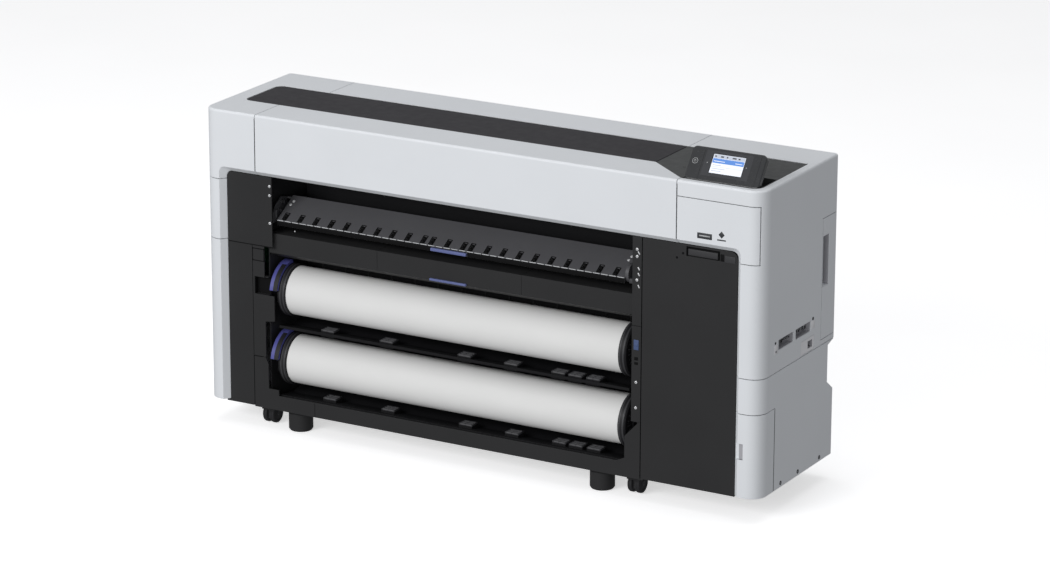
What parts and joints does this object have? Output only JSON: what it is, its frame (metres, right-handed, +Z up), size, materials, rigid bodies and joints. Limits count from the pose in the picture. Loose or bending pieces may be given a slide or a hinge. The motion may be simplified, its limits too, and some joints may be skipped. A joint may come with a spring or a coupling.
{
  "type": "large format plotter",
  "caption": "Floor-standing wide-format roll printer with front-loading paper rolls, hinged top cover, ink door and tilting touch panel.",
  "frame": {"origin": "on the floor, under the middle of the machine's width and depth", "axes": "+X to the operator's right along the machine, -Y towards the operator, +Z up"},
  "size_m": [1.84, 0.476, 1.0485],
  "materials": {
    "white_cover": "light grey-white moulded plastic, fine matt texture",
    "black_plastic": "charcoal moulded plastic, fine matt texture",
    "grey_plastic": "dark grey moulded plastic",
    "window": "dark smoked plastic, satin gloss",
    "tray_plastic": "dark grey plastic, satin",
    "blue_plastic": "violet-blue handling parts",
    "screen": "lit display under a clear lens",
    "paper": "uncoated white roll paper",
    "steel": "zinc-plated sheet steel",
    "black_steel": "black painted sheet steel",
    "aluminium": "extruded aluminium",
    "rubber": "black rubber tread",
    "belt_rubber": "toothed polyurethane belt",
    "circuit_board": "green solder mask"
  },
  "bodies": {
    "frame": {"base_frame": "black_steel", "left_frame_plate": "black_steel", "right_frame_plate": "black_steel", "base_front_cover": "black_plastic", "left_upper_cover": "white_cover", "left_middle_cover": "white_cover", "left_lower_cover": "white_cover", "right_upper_cover": "white_cover", "right_front_cover": "white_cover", "right_lower_cover": "white_cover", "rear_top_cover": "white_cover", "rear_cover": "white_cover", "left_panel_upper": "black_plastic", "left_panel_lower": "black_plastic", "left_column": "black_plastic", "right_post": "black_plastic", "panel_tray": "tray_plastic", "feeder_beam": "black_plastic", "roll_trays": "black_plastic", "platen": "grey_plastic", "carriage_rail": "aluminium", "capping_station": "black_plastic", "power_supply": "steel", "main_board": "circuit_board", "connector_ports": "black_plastic", "cover_screws": "steel", "ink_cabinet": "black_plastic", "ink_trays": "grey_plastic", "maintenance_box": "grey_plastic", "carriage_belt": "belt_rubber"},
    "printer_cover": {"printer_cover_shell": "white_cover", "printer_cover_window": "window"},
    "control_panel": {"control_panel": "black_plastic", "panel_screen": "screen"},
    "power_button": {"power_button": "black_plastic"},
    "ink_door": {"ink_door": "black_plastic"},
    "corner_cover": {"corner_cover": "white_cover"},
    "side_door": {"side_door": "white_cover"},
    "roll_1": {"roll_1_paper": "paper", "roll_1_flanges": "grey_plastic"},
    "roll_2": {"roll_2_paper": "paper", "roll_2_flanges": "grey_plastic"},
    "roll_1_lever": {"roll_1_lever": "blue_plastic"},
    "roll_2_lever": {"roll_2_lever": "blue_plastic"},
    "paper_guide": {"paper_guide": "grey_plastic"},
    "feeder_flap": {"feeder_flap": "black_plastic"},
    "print_carriage": {"print_carriage": "black_plastic"},
    "motor_pulley": {"motor_pulley": "aluminium"},
    "idler_pulley": {"idler_pulley": "aluminium"},
    "feed_roller": {"feed_roller": "rubber"},
    "pinch_rollers": {"pinch_rollers": "rubber"},
    "levelling_feet": {"levelling_feet": "black_plastic"},
    "caster_front_left": {"caster_fork_front_left": "black_plastic"},
    "caster_wheels_front_left": {"caster_wheels_front_left": "rubber"},
    "caster_front_right": {"caster_fork_front_right": "black_plastic"},
    "caster_wheels_front_right": {"caster_wheels_front_right": "rubber"},
    "caster_rear_left": {"caster_fork_rear_left": "black_plastic"},
    "caster_wheels_rear_left": {"caster_wheels_rear_left": "rubber"},
    "caster_rear_right": {"caster_fork_rear_right": "black_plastic"},
    "caster_wheels_rear_right": {"caster_wheels_rear_right": "rubber"}
  },
  "joints": [
    {"name": "printer_cover_lift", "type": "hinge", "parent": "frame", "child": "printer_cover", "pos_m": [0, 0.088, 0.9665], "axis": [-1, 0, 0], "range_deg": [0, 65]},
    {"name": "control_panel_tilt", "type": "hinge", "parent": "frame", "child": "control_panel", "pos_m": [0.772, -0.19844, 0.96418], "axis": [1, 0, 0], "range_deg": [-50, 2]},
    {"name": "power_button_press", "type": "slide", "parent": "control_panel", "child": "power_button", "axis": [0, 0.809, -0.5878], "range_m": [0, 0.0015], "stiffness_N_per_m": 250, "springref_m": -0.001},
    {"name": "ink_door_swing", "type": "hinge", "parent": "frame", "child": "ink_door", "pos_m": [0.539, -0.2167, 0.42], "axis": [0, 0, -1], "range_deg": [0, 105]},
    {"name": "corner_cover_swing", "type": "hinge", "parent": "frame", "child": "corner_cover", "pos_m": [0.92, -0.14, 0.2], "axis": [0, 0, 1], "range_deg": [0, 90]},
    {"name": "side_door_swing", "type": "hinge", "parent": "frame", "child": "side_door", "pos_m": [0.873, 0.238, 0.62], "axis": [0, 0, 1], "range_deg": [0, 90]},
    {"name": "roll_1_turn", "type": "hinge", "parent": "frame", "child": "roll_1", "pos_m": [-0.104, -0.13, 0.418], "axis": [1, 0, 0], "continuous": true},
    {"name": "roll_2_turn", "type": "hinge", "parent": "frame", "child": "roll_2", "pos_m": [-0.104, -0.13, 0.205], "axis": [1, 0, 0], "continuous": true},
    {"name": "roll_1_lock", "type": "hinge", "parent": "frame", "child": "roll_1_lever", "pos_m": [-0.7055, -0.13, 0.418], "axis": [-1, 0, 0], "range_deg": [0, 50]},
    {"name": "roll_2_lock", "type": "hinge", "parent": "frame", "child": "roll_2_lever", "pos_m": [-0.7055, -0.13, 0.205], "axis": [-1, 0, 0], "range_deg": [0, 50]},
    {"name": "paper_guide_lift", "type": "hinge", "parent": "frame", "child": "paper_guide", "pos_m": [-0.108, -0.114, 0.694], "axis": [-1, 0, 0], "range_deg": [0, 30]},
    {"name": "feeder_flap_open", "type": "hinge", "parent": "frame", "child": "feeder_flap", "pos_m": [-0.1025, -0.13, 0.529], "axis": [1, 0, 0], "range_deg": [0, 22]},
    {"name": "carriage_travel", "type": "slide", "parent": "frame", "child": "print_carriage", "axis": [-1, 0, 0], "range_m": [0, 1.44]},
    {"name": "motor_pulley_turn", "type": "hinge", "parent": "frame", "child": "motor_pulley", "pos_m": [0.812, 0.08, 0.912], "axis": [0, 1, 0], "range_deg": [0, 6350]},
    {"name": "idler_pulley_turn", "type": "hinge", "parent": "frame", "child": "idler_pulley", "pos_m": [-0.815, 0.08, 0.912], "axis": [0, 1, 0], "range_deg": [0, 6350]},
    {"name": "feed_roller_turn", "type": "hinge", "parent": "frame", "child": "feed_roller", "pos_m": [-0.104, 0.068, 0.768], "axis": [1, 0, 0], "continuous": true},
    {"name": "pinch_rollers_turn", "type": "hinge", "parent": "frame", "child": "pinch_rollers", "pos_m": [-0.1, 0.068, 0.7946], "axis": [1, 0, 0], "continuous": true},
    {"name": "levelling_feet_screw", "type": "slide", "parent": "frame", "child": "levelling_feet", "axis": [0, 0, 1], "range_m": [0, 0.006]},
    {"name": "caster_swivel_front_left", "type": "hinge", "parent": "frame", "child": "caster_front_left", "pos_m": [-0.743, -0.17, 0.06], "axis": [0, 0, 1], "continuous": true},
    {"name": "caster_roll_front_left", "type": "hinge", "parent": "caster_front_left", "child": "caster_wheels_front_left", "pos_m": [-0.743, -0.156, 0.029], "axis": [1, 0, 0], "continuous": true},
    {"name": "caster_swivel_front_right", "type": "hinge", "parent": "frame", "child": "caster_front_right", "pos_m": [0.495, -0.17, 0.06], "axis": [0, 0, 1], "continuous": true},
    {"name": "caster_roll_front_right", "type": "hinge", "parent": "caster_front_right", "child": "caster_wheels_front_right", "pos_m": [0.495, -0.156, 0.029], "axis": [1, 0, 0], "continuous": true},
    {"name": "caster_swivel_rear_left", "type": "hinge", "parent": "frame", "child": "caster_rear_left", "pos_m": [-0.743, 0.17, 0.06], "axis": [0, 0, 1], "continuous": true},
    {"name": "caster_roll_rear_left", "type": "hinge", "parent": "caster_rear_left", "child": "caster_wheels_rear_left", "pos_m": [-0.743, 0.184, 0.029], "axis": [1, 0, 0], "continuous": true},
    {"name": "caster_swivel_rear_right", "type": "hinge", "parent": "frame", "child": "caster_rear_right", "pos_m": [0.495, 0.17, 0.06], "axis": [0, 0, 1], "continuous": true},
    {"name": "caster_roll_rear_right", "type": "hinge", "parent": "caster_rear_right", "child": "caster_wheels_rear_right", "pos_m": [0.495, 0.184, 0.029], "axis": [1, 0, 0], "continuous": true}
  ],
  "couplings": [
    {"joint": "motor_pulley_turn", "follows": "carriage_travel", "rad_per_m": 76.923},
    {"joint": "idler_pulley_turn", "follows": "carriage_travel", "rad_per_m": 76.923},
    {"joint": "pinch_rollers_turn", "follows": "feed_roller_turn", "ratio": -2.25}
  ]
}
